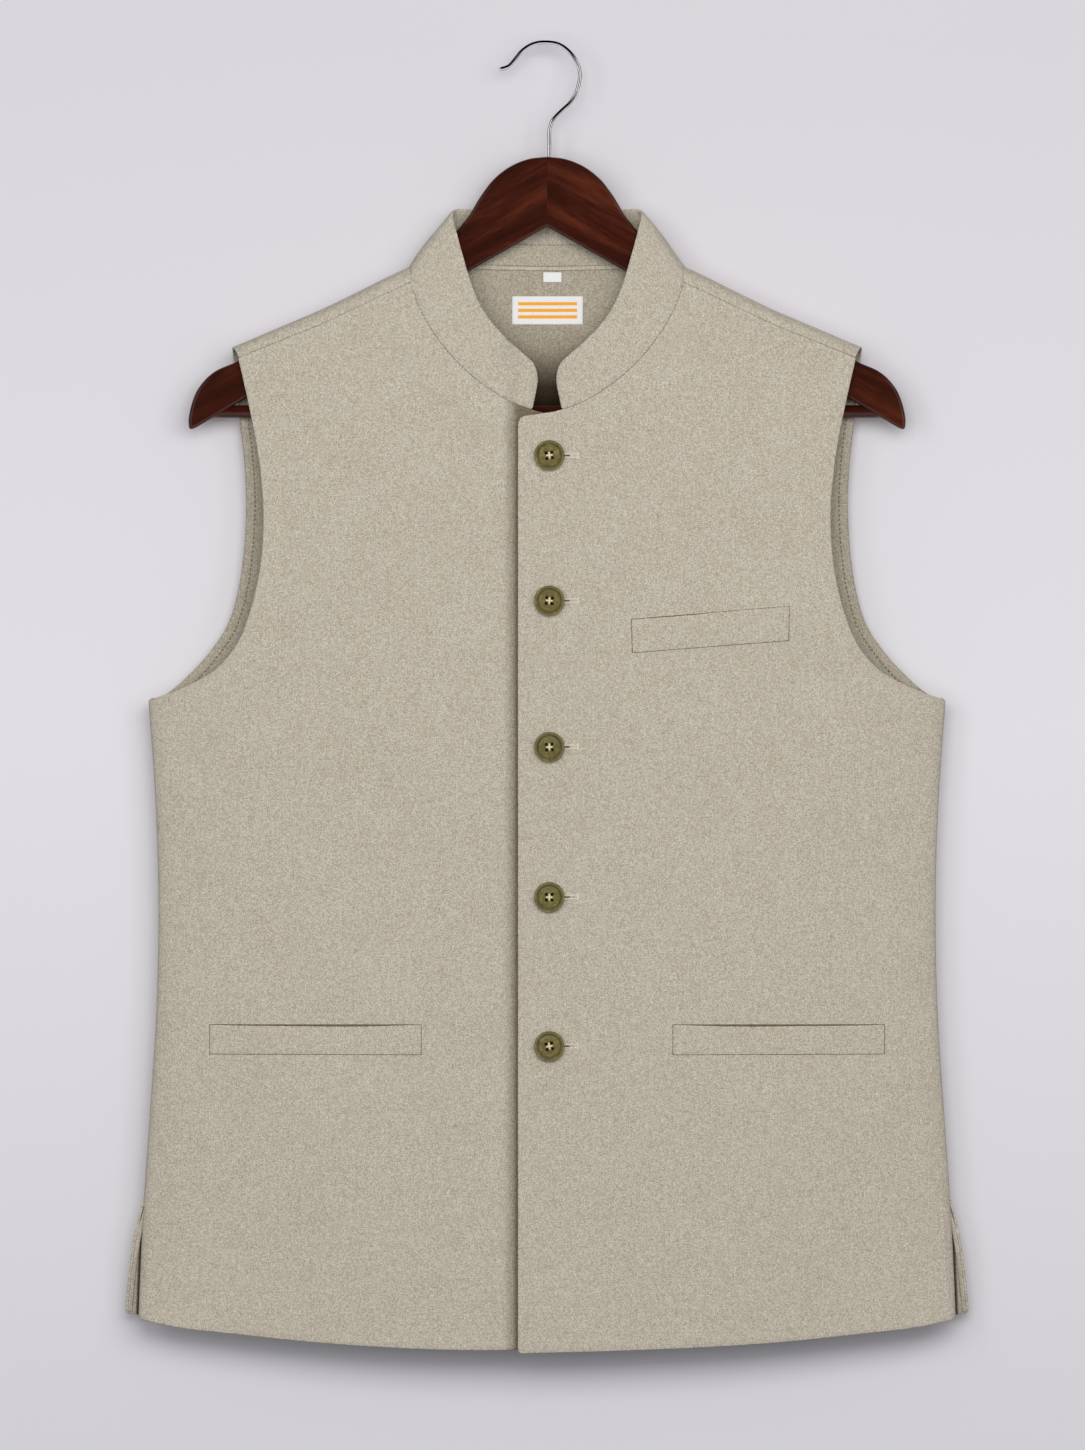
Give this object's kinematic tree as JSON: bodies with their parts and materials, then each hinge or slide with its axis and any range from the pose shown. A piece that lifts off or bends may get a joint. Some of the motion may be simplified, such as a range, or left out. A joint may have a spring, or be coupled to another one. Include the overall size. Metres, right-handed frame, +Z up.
{
  "type": "nehru jacket on a wooden hanger",
  "caption": "Sleeveless stand-collar jacket with a buttoned front, welt pockets and side vents, hanging on a curved wooden hanger with a wire hook.",
  "frame": {"origin": "under the top of the hook's arc, where a rail or wall hook holds it", "axes": "+Z up, -Y out of the jacket's front, +X to the wearer's left"},
  "size_m": [0.5564, 0.0408, 0.8661],
  "materials": {
    "suiting": "fine greyish-beige melange suiting, matt, plain weave",
    "suiting_inside": "the same cloth on the inside, matt",
    "button_resin": "olive-brass resin, semi-gloss",
    "label_white": "white woven satin tape",
    "hanger_wood": "dark mahogany stain, lacquered",
    "hook_chrome": "bright chrome-plated wire"
  },
  "bodies": {
    "root": {"front_left": "suiting", "front_right": "suiting", "back": "suiting", "collar": "suiting", "collar_inner_strip": "suiting_inside", "armhole_facing_left": "suiting_inside", "armhole_facing_right": "suiting_inside", "chest_welt": "suiting", "pocket_welt_left": "suiting", "pocket_welt_right": "suiting", "button_1": "button_resin", "button_2": "button_resin", "button_3": "button_resin", "button_4": "button_resin", "button_5": "button_resin", "main_label": "label_white", "size_tag": "label_white", "hanger_arm_left": "hanger_wood", "hanger_arm_right": "hanger_wood", "trouser_bar": "hanger_wood", "hook": "hook_chrome"}
  },
  "joints": []
}
